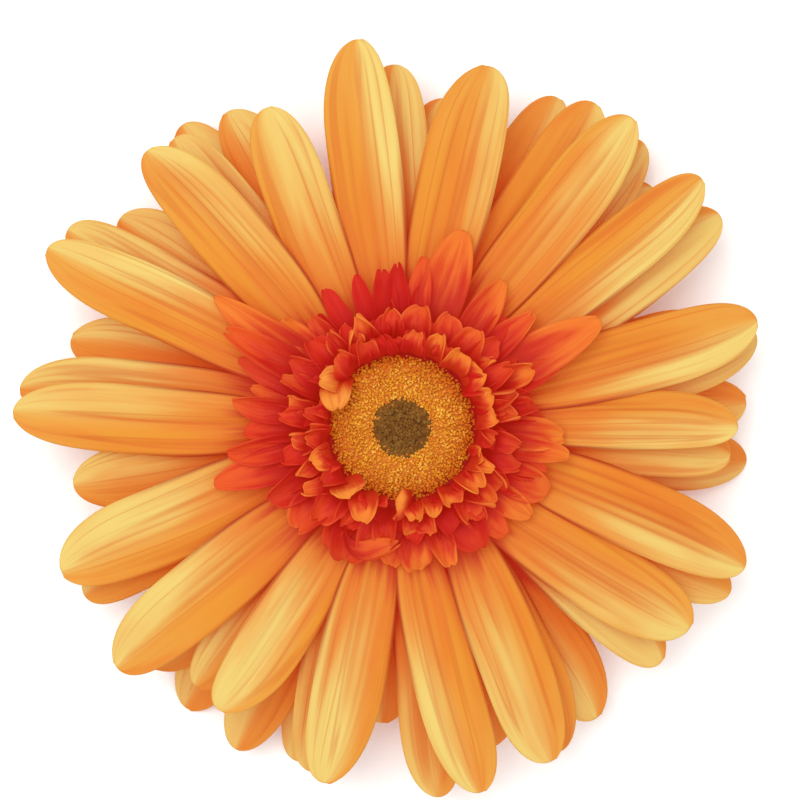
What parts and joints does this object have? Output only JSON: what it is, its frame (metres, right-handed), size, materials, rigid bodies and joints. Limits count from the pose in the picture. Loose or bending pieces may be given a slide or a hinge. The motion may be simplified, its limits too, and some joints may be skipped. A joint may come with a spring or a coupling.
{
  "type": "gerbera daisy",
  "caption": "Cut gerbera daisy head lying face up: whorls of orange ray petals, a crown of short red florets, a golden disc with a dark middle, and a green cup of bracts on a short stem.",
  "frame": {"origin": "on the surface that the flower lies on, under the middle of its box", "axes": "+Z out of the flower's face, +Y towards the picture's top and +X towards its right"},
  "size_m": [0.1086, 0.1108, 0.0297],
  "materials": {
    "stem": "matte",
    "bracts": "matte",
    "ray_petals": "matte",
    "trans_florets": "matte",
    "disc_florets": "matte",
    "disc_buds": "matte"
  },
  "bodies": {
    "root": {"stem": "stem", "involucre": "bracts", "ray_petals_lowest": "ray_petals", "ray_petals_third": "ray_petals", "ray_petals_second": "ray_petals", "ray_petals_upper": "ray_petals", "trans_florets_outer": "trans_florets", "trans_florets_middle": "trans_florets", "trans_florets_inner": "trans_florets", "disc_florets": "disc_florets", "disc_buds": "disc_buds"}
  },
  "joints": []
}
